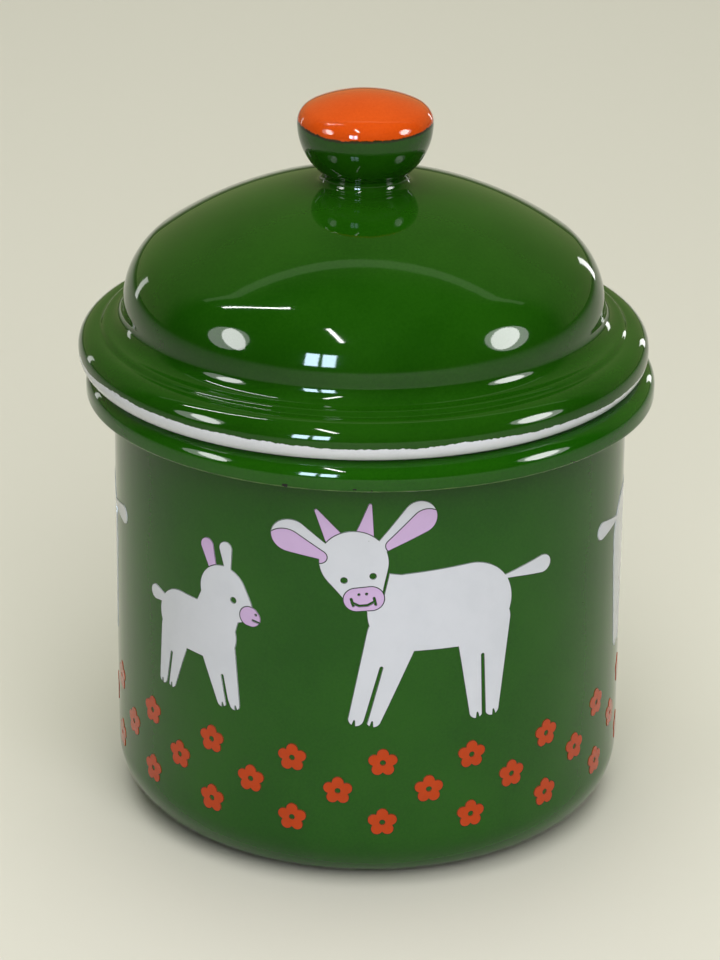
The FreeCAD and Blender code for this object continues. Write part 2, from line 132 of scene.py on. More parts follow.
@dataclass(frozen=True)
class Outline:
    """A run of corners that is spun round an axis.

    Attributes:
        corners: Corners in order, from one end to the other.
    """

    corners: tuple[Corner, ...]

    def headings(self) -> list[Vector]:
        """Direction of each straight of the outline."""
        places = [corner.place() for corner in self.corners]
        return [(b - a).normalized() for a, b in zip(places, places[1:])]

    def turn(self, index: int) -> float:
        """Angle that the outline turns at an inner corner.

        Args:
            index: Number of the corner.

        Returns:
            The angle in radians, positive to the left.
        """
        into, out = self.headings()[index - 1 : index + 1]
        return math.atan2(into.x * out.z - into.z * out.x, into.dot(out))

    def offset(self, distance: float) -> "Outline":
        """The same outline moved to its left.

        Args:
            distance: How far; negative moves it to its right.

        Returns:
            The moved outline, with each bend larger or smaller to suit.
        """
        headings = self.headings()
        count = len(self.corners)
        moved = []
        for i, corner in enumerate(self.corners):
            into = headings[max(i - 1, 0)]
            turn = self.turn(i) if 0 < i < count - 1 else 0.0
            middle = math.atan2(into.z, into.x) + turn / 2 + math.pi / 2
            reach = distance / math.cos(turn / 2)
            change = distance * math.copysign(1, turn)
            bend = max(corner.bend - change, 0) if corner.bend else 0
            r = corner.r + reach * math.cos(middle)
            moved.append(Corner(r, corner.z + reach * math.sin(middle), bend))
        return Outline(tuple(moved))

    def reversed(self) -> "Outline":
        """The same outline run from its other end."""
        return Outline(tuple(reversed(self.corners)))

    def fitted(self) -> list[float]:
        """Fit the bends to the straights between them.

        Returns:
            Each corner's bend, smaller where two bends need more than their straight.
        """
        count = len(self.corners)
        turns = [self.turn(i) if 0 < i < count - 1 else 0.0 for i in range(count)]
        reaches = [c.bend * math.tan(abs(turn) / 2) for c, turn in zip(self.corners, turns)]
        share = [1.0] * count
        for i in range(count - 1):
            straight = (self.corners[i + 1].place() - self.corners[i].place()).length
            need = reaches[i] + reaches[i + 1]
            if need > straight:
                share[i] = min(share[i], straight / need)
                share[i + 1] = min(share[i + 1], straight / need)
        return [corner.bend * part for corner, part in zip(self.corners, share)]

    def draw(self, form: Form, facet: float) -> tuple[Vert, Vert]:
        """Draw the outline as a chain of edges, each bend an arc.

        Args:
            form: The mesh to draw in.
            facet: Longest edge that an arc or a straight is divided into.

        Returns:
            The first and last vertices of the chain.
        """
        first = tip = form.verts.new(self.corners[0].place())
        headings = self.headings()
        bends = self.fitted()
        for i, corner in enumerate(self.corners[1:-1], start=1):
            turn, bend = self.turn(i), bends[i]
            start = corner.place() - headings[i - 1] * bend * math.tan(abs(turn) / 2)
            tip = self.straight(form, tip, start, facet)
            if bend > LEAST_BEND and abs(turn) > LEAST_TURN:
                left = Vector((-headings[i - 1].z, 0, headings[i - 1].x))
                inwards = left * math.copysign(1, turn)
                steps = max(ARC_STEPS, math.ceil(bend * abs(turn) / facet))
                swept = bmesh.ops.spin(
                    form, geom=[tip], cent=start + inwards * bend, axis=(0, -1, 0),
                    angle=turn, steps=steps,
                )
                tip = next(v for v in swept["geom_last"] if isinstance(v, Vert))
        tip = self.straight(form, tip, self.corners[-1].place(), facet)
        return first, tip

    @staticmethod
    def straight(form: Form, tip: Vert, end: Vector, facet: float) -> Vert:
        """Draw a straight from a vertex.

        Args:
            form: The mesh to draw in.
            tip: The vertex that the straight starts from.
            end: Where it goes to.
            facet: Longest edge that it is divided into.

        Returns:
            The vertex at its end.
        """
        run = end - tip.co
        if run.length < LEAST_RUN:
            return tip
        steps = max(1, math.ceil(run.length / facet))
        for _ in range(steps):
            made = bmesh.ops.extrude_vert_indiv(form, verts=[tip])
            tip = made["verts"][0]
            bmesh.ops.translate(form, verts=[tip], vec=run / steps)
        return tip


@dataclass(frozen=True)
class Crown:
    """A two-radius dome: a shallow crown that a tighter shoulder turns down into its side.

    Attributes:
        radius: Radius of the dome's side.
        level: Height at which the shoulder meets the side.
        shoulder: Radius of the shoulder's bend.
        crown: Radius of the crown's bend.
    """

    radius: float
    level: float
    shoulder: float
    crown: float

    def slope(self) -> float:
        """Angle from the axis at which the crown meets the shoulder."""
        return math.asin((self.radius - self.shoulder) / (self.crown - self.shoulder))

    def top(self) -> float:
        """Height of the dome's top."""
        rise = (self.crown - self.shoulder) ** 2 - (self.radius - self.shoulder) ** 2
        return self.level + self.crown - math.sqrt(rise)

    def height(self, radius: float) -> float:
        """Height of the crown at a radius inside the shoulder."""
        return self.top() - self.crown + math.sqrt(self.crown**2 - radius**2)

    def corners(self, start: float = 0.0) -> list[Corner]:
        """Corners of the dome from a radius near the axis out to its side.

        Args:
            start: Radius at which the outline begins.

        Returns:
            The starting point, the crown's corner and the shoulder's corner.
        """
        begun = math.asin(start / self.crown)
        middle = (begun + self.slope()) / 2
        far = self.crown / math.cos(self.slope() - middle)
        centre = self.top() - self.crown
        crown = Corner(far * math.sin(middle), centre + far * math.cos(middle), self.crown)
        drop = (self.radius - crown.r) * math.tan(self.slope())
        shoulder = Corner(self.radius, crown.z - drop, self.shoulder)
        return [Corner(start, self.height(start)), crown, shoulder]


@dataclass(frozen=True)
class Spin:
    """How an outline is turned into a shape.

    Attributes:
        axis: Place of the axis along X.
        sectors: Number of equal parts that the turn is made of.
        steps: Number of facets round each part.
        facet: Longest edge along the outline.
        back_facet: Longest edge along the coat's unseen back.
    """

    axis: float = 0.0
    sectors: int = 8
    steps: int = 32
    facet: float = 1.0 * MM
    back_facet: float = 2.5 * MM

    def coat(self, outline: Outline, side: Side, thickness: float) -> Form:
        """A closed coat of even thickness whose outside follows an outline.

        Args:
            outline: The side of the coat that is seen.
            side: Where the coat's back lies, seen along the outline.
            thickness: Thickness of the coat.

        Returns:
            The coat, in place, with its normals outwards.
        """
        form = bmesh.new()
        ends = outline.draw(form, self.facet)
        back_ends = outline.offset(side.value * thickness).draw(form, self.back_facet)
        for front, back in zip(ends, back_ends):
            if max(front.co.x, back.co.x) > thickness / 2:
                bmesh.ops.contextual_create(form, geom=[front, back])
        # One sector is swept and then copied round, which is much quicker than one full sweep.
        sector = FULL_TURN / self.sectors
        bmesh.ops.spin(
            form, geom=form.verts[:] + form.edges[:],
            cent=(0, 0, 0), axis=(0, 0, 1), angle=sector, steps=self.steps,
        )
        bmesh.ops.spin(
            form, geom=form.verts[:] + form.edges[:] + form.faces[:],
            cent=(0, 0, 0), axis=(0, 0, 1), angle=FULL_TURN - sector, steps=self.sectors - 1,
            use_duplicate=True,
        )
        bmesh.ops.remove_doubles(form, verts=form.verts[:], dist=MERGE)
        bmesh.ops.dissolve_degenerate(form, edges=form.edges[:], dist=SLIVER)
        bmesh.ops.translate(form, verts=form.verts[:], vec=(self.axis, 0, 0))
        bmesh.ops.recalc_face_normals(form, faces=form.faces[:])
        return form

    @staticmethod
    def cut(form: Form, level: float, keep: Half) -> Form:
        """Cut a coat at a level and close its rim.

        Args:
            form: The coat.
            level: Height of the cut.
            keep: Which half is kept.

        Returns:
            The same mesh.
        """
        bmesh.ops.bisect_plane(
            form, geom=form.verts[:] + form.edges[:] + form.faces[:], dist=MERGE,
            plane_co=(0, 0, level), plane_no=(0, 0, 1),
            clear_inner=keep is Half.UPPER, clear_outer=keep is Half.LOWER,
        )
        rim = [edge for edge in form.edges if edge.is_boundary]
        bmesh.ops.bridge_loops(form, edges=rim)
        bmesh.ops.recalc_face_normals(form, faces=form.faces[:])
        return form


class Piece:
    """A finished mesh that rides on a body."""

    def __init__(self, name: str, form: Form, body: Body) -> None:
        """Make the piece's object.

        Args:
            name: Name of the piece.
            form: Its mesh, which is used up.
            body: The body that it moves with.
        """
        mesh = bpy.data.meshes.new(name)
        for face in form.faces:
            face.smooth = True
        for edge in form.edges:
            edge.smooth = len(edge.link_faces) != 2 or edge.calc_face_angle(0.0) < SHARP_EDGE
        form.to_mesh(mesh)
        form.free()
        self.object = bpy.data.objects.new(name, mesh)
        bpy.context.scene.collection.objects.link(self.object)
        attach(self.object, body.value)
        LOG.info("%-26s %7d faces, rides on %s", name, len(mesh.polygons), body.value)

    def stand_for(self, *nodes: str) -> "Piece":
        """Take the place of frame nodes, which are then not shown."""
        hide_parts(*nodes)
        return self

    def dress(self, material: bpy.types.Material, slot: str) -> "Piece":
        """Give the piece its look.

        Args:
            material: The material that covers it.
            slot: The record's material slot that it stands for; not used.

        Returns:
            The same piece.
        """
        self.object.data.materials.append(material)
        return self


# ---- finishes ----
def linear(red: int, green: int, blue: int) -> Colour:
    """A display colour as linear light.

    Args:
        red: Its red, from 0 to 255.
        green: Its green.
        blue: Its blue.

    Returns:
        The three shares of light, from 0 to 1.
    """
    return tuple(
        c / 12.92 if c <= 0.04045 else ((c + 0.055) / 1.055) ** 2.4
        for c in (red / 255, green / 255, blue / 255)
    )


class Bench:
    """A material's node tree, with short ways to add to it."""

    def __init__(self, name: str) -> None:
        """Start a material that holds only a shader and its output.

        Args:
            name: Name of the material.
        """
        self.material = bpy.data.materials.new(name)
        self.material.use_nodes = True
        self.tree = self.material.node_tree
        self.shader = self.tree.nodes["Principled BSDF"]
        self.place = self.add("ShaderNodeTexCoord").outputs["Object"]

    def add(self, kind: str, **settings: object) -> bpy.types.Node:
        """Add a node.

        Args:
            kind: Blender's name of its type.
            settings: Its properties.

        Returns:
            The node.
        """
        node = self.tree.nodes.new(kind)
        for name, value in settings.items():
            setattr(node, name, value)
        return node

    def feed(self, socket: Socket, value: Socket | float | tuple) -> None:
        """Link an output to an input socket, or set the socket to a constant.

        Args:
            socket: The input.
            value: The output or the constant.
        """
        if isinstance(value, Socket):
            self.tree.links.new(value, socket)
        else:
            socket.default_value = value

    def wear(self, name: str, value: Amount) -> None:
        """Feed one of the shader's own inputs."""
        self.feed(self.shader.inputs[name], value)

    def glazed(self) -> bpy.types.Material:
        """Give the shader the gloss of fused glass, and hand over the material.

        Returns:
            The finished material.
        """
        self.shader.inputs["IOR"].default_value = GLASS_IOR
        self.shader.inputs["Specular IOR Level"].default_value = GLASS_SPECULAR
        return self.material

    def sum(self, operation: str, *values: Amount) -> Socket:
        """A Math node.

        Args:
            operation: Blender's name of the operation.
            values: Its inputs, outputs of nodes or numbers.

        Returns:
            The node's output.
        """
        node = self.add("ShaderNodeMath", operation=operation)
        for socket, value in zip(node.inputs, values):
            self.feed(socket, value)
        return node.outputs[0]

    def ramp(self, value: Socket, low: float, high: float) -> Socket:
        """A smooth step.

        Args:
            value: What it reads.
            low: Where it gives 0.
            high: Where it gives 1; if this is below low, the step falls instead of rising.

        Returns:
            The step's output.
        """
        node = self.add("ShaderNodeMapRange", interpolation_type="SMOOTHSTEP", clamp=True)
        for name, amount in (("Value", value), ("From Min", low), ("From Max", high)):
            self.feed(node.inputs[name], amount)
        return node.outputs["Result"]

    def noise(self, size: float, detail: float = 2.0, rough: float = 0.5) -> Socket:
        """Noise between 0 and 1 that lies still on the piece.

        Args:
            size: Rough size of its blotches, in metres.
            detail: Octaves of detail.
            rough: How strong the finer octaves are.

        Returns:
            The node's factor output.
        """
        node = self.add("ShaderNodeTexNoise")
        self.feed(node.inputs["Vector"], self.place)
        self.feed(node.inputs["Scale"], 1 / size)
        self.feed(node.inputs["Detail"], detail)
        self.feed(node.inputs["Roughness"], rough)
        return node.outputs["Fac"]

    def specks(self, size: float, share: float, keep: float) -> Socket:
        """Scattered round specks.

        Args:
            size: Distance between the points that may carry a speck.
            share: Radius of a speck as a share of that distance.
            keep: Share of the points that carry one.

        Returns:
            1 inside a speck and 0 elsewhere.
        """
        cell = self.add("ShaderNodeTexVoronoi")
        self.feed(cell.inputs["Vector"], self.place)
        self.feed(cell.inputs["Scale"], 1 / size)
        chosen = self.sum("LESS_THAN", self.channel(cell.outputs["Color"], 0), keep)
        near = self.ramp(cell.outputs["Distance"], share, 0.7 * share)
        return self.sum("MULTIPLY", chosen, near)

    def channel(self, vector: Socket, index: int) -> Socket:
        """One component of a vector or colour.

        Args:
            vector: The vector or colour.
            index: 0, 1 or 2.

        Returns:
            The component's output.
        """
        node = self.add("ShaderNodeSeparateXYZ")
        self.feed(node.inputs[0], vector)
        return node.outputs[index]

    def mix(self, factor: Amount, first: Tint, second: Tint) -> Socket:
        """Blend two colours.

        Args:
            factor: How much of the second there is.
            first: One colour.
            second: The other.

        Returns:
            The blend's output.
        """
        node = self.add("ShaderNodeMix", data_type="RGBA")
        self.feed(node.inputs["Factor"], factor)
        for name, colour in (("A", first), ("B", second)):
            socket = next(s for s in node.inputs if s.name == name and s.type == "RGBA")
            self.feed(socket, (*colour, 1.0) if isinstance(colour, tuple) else colour)
        return next(s for s in node.outputs if s.type == "RGBA")

    def bump(self, height: Socket, depth: float, under: Socket | None = None) -> Socket:
        """A Bump node.

        Args:
            height: Height pattern between 0 and 1.
            depth: How high 1 stands, in metres.
            under: Normal of a coarser bump that this one lies on.

        Returns:
            The bumped normal.
        """
        node = self.add("ShaderNodeBump")
        self.feed(node.inputs["Strength"], 1.0)
        self.feed(node.inputs["Distance"], depth)
        self.feed(node.inputs["Height"], height)
        if under is not None:
            self.feed(node.inputs["Normal"], under)
        return node.outputs["Normal"]


@dataclass(frozen=True)
class Enamel:
    """Vitreous enamel: coloured glass fused to steel.

    Attributes:
        name: Name of the material.
        deep: Colour where the coat is thickest.
        thin: Colour where it is thinnest.
        gloss: Roughness of the clean surface.
        polish: Roughness that it never falls below.
        smear: How much rougher it is where it is smeared.
        wave: Depth of the slow unevenness that bends reflections.
        wave_length: Length of that unevenness.
        peel: Depth of the fine ripple left by spraying.
        peel_length: Length of that ripple.
        pit_spacing: Distance between places that may hold a pit.
        pit_size: Radius of a pit as a share of that distance.
        pit_share: Share of those places that hold one.
        pit_depth: Depth of a pit.
        burnt: Colour of the enamel in a pit.
    """

    name: str
    deep: Colour
    thin: Colour
    gloss: float = 0.045
    polish: float = 0.02
    smear: float = 0.05
    wave: float = 0.05 * MM
    wave_length: float = 24 * MM
    peel: float = 0.004 * MM
    peel_length: float = 2.6 * MM
    pit_spacing: float = 7.5 * MM
    pit_size: float = 0.020
    pit_share: float = 0.16
    pit_depth: float = 0.06 * MM
    burnt: Colour = linear(18, 26, 12)

    def waved(self, bench: Bench) -> Socket:
        """The normal of the sheet's slow unevenness."""
        return bench.bump(bench.noise(self.wave_length, detail=1.0, rough=0.4), self.wave)

    def surface(self, bench: Bench, colour: Socket) -> bpy.types.Material:
        """Finish a material with this enamel's gloss and unevenness.

        Args:
            bench: The material under way.
            colour: Output that gives its colour.

        Returns:
            The finished material.
        """
        pits = bench.specks(self.pit_spacing, self.pit_size, self.pit_share)
        bench.wear("Base Color", bench.mix(pits, colour, self.burnt))
        smeared = bench.noise(16 * MM, detail=3.0, rough=0.55)
        gloss = bench.sum("MULTIPLY_ADD", smeared, self.smear, self.gloss - self.polish)
        bench.wear("Roughness", bench.sum("MAXIMUM", gloss, self.polish))
        fine = bench.bump(bench.noise(self.peel_length), self.peel, self.waved(bench))
        bench.wear("Normal", bench.bump(bench.sum("SUBTRACT", 1.0, pits), self.pit_depth, fine))
        return bench.glazed()

    def tone(self, bench: Bench) -> Socket:
        """Colour of the coat as its thickness wanders.

        Args:
            bench: The material under way.

        Returns:
            The colour's output.
        """
        cloud = bench.noise(30 * MM, detail=3.0)
        grain = bench.noise(0.7 * MM, rough=0.6)
        mottle = bench.sum("MULTIPLY_ADD", grain, 0.35, bench.sum("MULTIPLY", cloud, 0.65))
        return bench.mix(bench.ramp(mottle, 0.3, 0.7), self.deep, self.thin)

    def plain(self) -> bpy.types.Material:
        """The enamel by itself."""
        bench = Bench(self.name)
        return self.surface(bench, self.tone(bench))


GREEN = Enamel("green_enamel", linear(18, 73, 2), linear(29, 84, 7))
# The lid's green is the can's green enamel painted darker: painted shade on the lid, not a
# different enamel.
SHADED_LID_GREEN = Enamel("lid_green_enamel", linear(17, 63, 2), linear(27, 74, 7))
WHITE = Enamel("white_enamel", linear(205, 208, 218), linear(214, 217, 226))
ORANGE = Enamel("orange_enamel", linear(190, 66, 10), linear(203, 77, 18))


@dataclass(frozen=True)
class CutEdge:
    """The lip's cut edge: a pale highlight painted on the green enamel along it, and chips.

    Attributes:
        level: Height of the edge.
        inside: Radius inside which nothing belongs to the edge.
        reach: How far up the lip the painted highlight goes.
        wander: How much that changes along the edge.
        chips: Heights over the edge between which chips come to an end.
        painted_edge_highlight: Colour of the highlight painted along the edge.
        chipped: Colour inside a chip.
    """

    level: float
    inside: float
    reach: float = 0.55 * MM
    wander: float = 0.7 * MM
    chips: tuple[float, float] = (1.1 * MM, 0.9 * MM)
    # Colour of the painted highlight along the cut edge.
    painted_edge_highlight: Colour = linear(126, 158, 92)
    chipped: Colour = linear(16, 18, 14)

    def dressed(self) -> bpy.types.Material:
        """Green enamel with a highlight painted along the edge, and chips there.

        Returns:
            The finished material.
        """
        bench = Bench("green_enamel_with_cut_edge")
        height = bench.channel(bench.place, 2)
        flat = bench.add("ShaderNodeVectorMath", operation="MULTIPLY")
        bench.feed(flat.inputs[0], bench.place)
        bench.feed(flat.inputs[1], (1.0, 1.0, 0.0))
        length = bench.add("ShaderNodeVectorMath", operation="LENGTH")
        bench.feed(length.inputs[0], flat.outputs["Vector"])
        outer = bench.sum("GREATER_THAN", length.outputs["Value"], self.inside)
        # Painted highlight: a pale band painted along the cut edge, on the lip's outer side.
        middle = self.level - self.wander / 2
        edge = bench.sum("MULTIPLY_ADD", bench.noise(5 * MM, detail=3.0), self.wander, middle)
        above = bench.sum("SUBTRACT", height, edge)
        band = bench.sum("MULTIPLY", outer, bench.ramp(above, self.reach, 0.0))
        pale = bench.mix(bench.sum("MULTIPLY", band, 0.55), GREEN.tone(bench), self.painted_edge_highlight)
        flakes = bench.ramp(bench.noise(3.4 * MM, detail=3.0, rough=0.6), 0.66, 0.68)
        near = bench.ramp(bench.sum("SUBTRACT", height, self.level), *self.chips)
        chip = bench.sum("MULTIPLY", bench.sum("MULTIPLY", outer, near), flakes)
        return GREEN.surface(bench, bench.mix(chip, pale, self.chipped))


@dataclass(frozen=True)
class DipLine:
    """A level where one colour of enamel ends over another with a ragged edge.

    Attributes:
        level: Height of the line.
        drift: How strongly it wanders round the turn.
        teeth: How strongly its edge is ragged.
        shadow: Height of the dark line where the colours meet.
        slope: Fall of the line for each unit of length along X.
        drift_length: Length over which the line wanders.
        tooth_length: Length of the edge's teeth.
        softness: Half the height over which one colour turns into the other.
    """

    level: float
    drift: float
    teeth: float
    shadow: float
    slope: float = 0.0
    drift_length: float = 26 * MM
    tooth_length: float = 1.7 * MM
    softness: float = 0.06 * MM

    def masks(self, bench: Bench) -> tuple[Socket, Socket]:
        """Where the upper colour lies, and where the dark line does.

        Args:
            bench: The material under way.

        Returns:
            The upper colour's factor and the dark line's factor.
        """
        height = bench.channel(bench.place, 2)
        fall = bench.sum("MULTIPLY", bench.channel(bench.place, 0), self.slope)
        drift = bench.sum("SUBTRACT", bench.noise(self.drift_length, detail=1.0), 0.5)
        wander = bench.sum("MULTIPLY_ADD", drift, self.drift, fall)
        ragged = bench.noise(self.tooth_length, detail=3.0, rough=0.65)
        teeth = bench.sum("SUBTRACT", ragged, 0.5)
        stray = bench.sum("MULTIPLY_ADD", teeth, self.teeth, wander)
        above = bench.sum("SUBTRACT", bench.sum("ADD", height, stray), self.level)
        upper = bench.ramp(above, -self.softness, self.softness)
        gap = bench.ramp(bench.sum("ABSOLUTE", above), self.shadow, 0.4 * self.shadow)
        return upper, gap


@dataclass(frozen=True)
class LidGlaze:
    """The lid's outer enamel: an orange knob on green, painted darker than the can's green as
    shade, and white under the rim.

    Attributes:
        knob_line: Where the orange ends on the knob.
        band_line: Where the green ends on the rim.
        seam: Colour of the dark line under the orange.
    """

    knob_line: DipLine
    band_line: DipLine
    seam: Colour = linear(34, 38, 12)

    def dressed(self) -> bpy.types.Material:
        """Make one material for every coat on the outside of the lid.

        Returns:
            The finished material.
        """
        bench = Bench("lid_glaze")
        orange, burnt = self.knob_line.masks(bench)
        green, _ = self.band_line.masks(bench)
        # The lid's green is painted darker than the can's green: painted shade.
        colour = bench.mix(green, WHITE.tone(bench), SHADED_LID_GREEN.tone(bench))
        colour = bench.mix(orange, colour, ORANGE.tone(bench))
        return SHADED_LID_GREEN.surface(bench, bench.mix(burnt, colour, self.seam))


@dataclass(frozen=True)
class Transfer:
    """A fired transfer: a thin printed layer of coloured glass.

    Attributes:
        name: Name of the material.
        colour: Its colour.
        mottled: The same where the print is thinner and the green shows through.
        roughness: Roughness of its smoothest places.
        dulling: How much rougher it is elsewhere.
        pinhole_spacing: Distance between places that may hold a pinhole.
        pinhole_size: Radius of a pinhole as a share of that distance.
        pinhole_share: Share of those places that hold one.
        ripple: Depth of the print's own fine ripple.
    """

    name: str
    colour: Colour
    mottled: Colour
    roughness: float = 0.09
    dulling: float = 0.06
    pinhole_spacing: float = 4.3 * MM
    pinhole_size: float = 0.022
    pinhole_share: float = 0.08
    ripple: float = 0.003 * MM

    def dressed(self) -> bpy.types.Material:
        """Make the printed layer's material.

        Returns:
            The finished material.
        """
        bench = Bench(self.name)
        blotch = bench.ramp(bench.noise(9 * MM, detail=4.0, rough=0.6), 0.35, 0.75)
        pinholes = bench.specks(self.pinhole_spacing, self.pinhole_size, self.pinhole_share)
        grain = bench.sum("MULTIPLY", bench.noise(0.35 * MM), 0.2)
        thin = bench.sum("MULTIPLY_ADD", blotch, 0.5, grain)
        ink = bench.mix(bench.sum("MINIMUM", thin, 1.0), self.colour, self.mottled)
        bench.wear("Base Color", bench.mix(pinholes, ink, GREEN.deep))
        dull = bench.noise(6 * MM, detail=3.0)
        bench.wear("Roughness", bench.sum("MULTIPLY_ADD", dull, self.dulling, self.roughness))
        bench.wear("Normal", bench.bump(bench.noise(0.5 * MM), self.ripple, GREEN.waved(bench)))
        return bench.glazed()


@dataclass(frozen=True)
class Steel:
    """Mild steel as it lies under the enamel, scaled by the furnace.

    Attributes:
        name: Name of the material.
        bright: Colour of the clean metal.
        scale: Colour of the furnace scale on it.
        roughness: Roughness of the clean metal.
        scale_roughness: How much rougher the scale is.
        grain: Depth of the fine grain left by rolling.
    """

    name: str = "sheet_steel"
    bright: Colour = linear(120, 122, 124)
    scale: Colour = linear(58, 56, 56)
    roughness: float = 0.45
    scale_roughness: float = 0.25
    grain: float = 0.01 * MM

    def dressed(self) -> bpy.types.Material:
        """Make the steel's material.

        Returns:
            The finished material.
        """
        bench = Bench(self.name)
        patch = bench.ramp(bench.noise(8 * MM, detail=4.0, rough=0.6), 0.4, 0.62)
        rough = bench.sum("MULTIPLY_ADD", patch, self.scale_roughness, self.roughness)
        bench.wear("Base Color", bench.mix(patch, self.bright, self.scale))
        bench.wear("Roughness", rough)
        bench.wear("Normal", bench.bump(bench.noise(0.4 * MM, detail=3.0), self.grain))
        bench.shader.inputs["Metallic"].default_value = 1.0
        return bench.material


# ---- the canister ----
@dataclass
class Can:
    """The can: its drawn wall, recessed base and rolled lip, enamelled green and white.

    Attributes:
        radius: Outside radius of the wall.
        height: Height of the lip's crest.
        wall: Thickness of the enamelled sheet.
        enamel: Thickness of a coat.
        base_corner: Outside radius between the base and the wall.
        foot_ring: Width of the ring that the can stands on.
        panel_rise: Height of the base panel over the foot ring.
        panel_run: Radial run of the slope between them.
        panel_bend: Radius of that slope's bends.
        lip_radius: Outside radius of the rolled lip.
        lip_drop: From the lip's crest down to its cut edge.
        edge_bend: Radius of the enamel round the cut edge.
        mouth_green: How far down inside the mouth the green goes.
        spin: How the outlines are turned.
    """

    radius: float = 65.0 * MM
    height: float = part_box("can_green_enamel")[1].z
    wall: float = 1.4 * MM
    enamel: float = 0.3 * MM
    base_corner: float = 14.3 * MM
    foot_ring: float = 6.5 * MM
    panel_rise: float = 1.6 * MM
    panel_run: float = 4.0 * MM
    panel_bend: float = 3.0 * MM
    lip_radius: float = 4.2 * MM
    lip_drop: float = 6.9 * MM
    edge_bend: float = 0.6 * MM
    mouth_green: float = 6.0 * MM
    spin: Spin = Spin()

    def base(self, top: float) -> Outline:
        """Outside of the base and wall, from the axis upwards.

        Args:
            top: Height at which it ends.

        Returns:
            The outline.
        """
        foot_outer = self.radius - self.base_corner
        foot_inner = foot_outer - self.foot_ring
        return Outline((
            Corner(0, self.panel_rise),
            Corner(foot_inner - self.panel_run, self.panel_rise, self.panel_bend),
            Corner(foot_inner, 0, self.panel_bend),
            Corner(self.radius, 0, self.base_corner),
            Corner(self.radius, top),
        ))

    def green_outline(self) -> Outline:
        """Outside of everything green.

        Returns:
            The outline of base, wall, lip and the first of the mouth's inside.
        """
        hook = self.lip_radius - self.wall
        mouth = self.radius - self.wall
        edge = self.height - self.lip_drop
        outer = mouth + 2 * self.lip_radius
        below = self.base(edge).corners[:-1]
        return Outline(below + (
            Corner(self.radius, self.height - self.wall, hook),
            Corner(outer - self.wall, self.height - self.wall, hook),
            Corner(outer - self.wall, edge, self.edge_bend),
            Corner(outer, edge, self.edge_bend),
            Corner(outer, self.height, self.lip_radius),
            Corner(mouth, self.height, self.lip_radius),
            Corner(mouth, self.height - self.mouth_green),
        ))

    def build(self) -> None:
        """Make and dress the can's two coats."""
        edge = CutEdge(self.height - self.lip_drop, self.radius + self.lip_radius)
        green = self.spin.coat(self.green_outline(), Side.LEFT, self.enamel)
        piece = Piece("can_green_coat", green, Body.CANISTER)
        piece.stand_for("can_green_enamel").dress(edge.dressed(), "green_enamel")
        inside = self.base(self.height - self.mouth_green).offset(self.wall).reversed()
        white = self.spin.coat(inside, Side.LEFT, self.enamel)
        piece = Piece("can_white_coat", white, Body.CANISTER)
        piece.stand_for("can_white_enamel").dress(WHITE.plain(), "white_enamel")


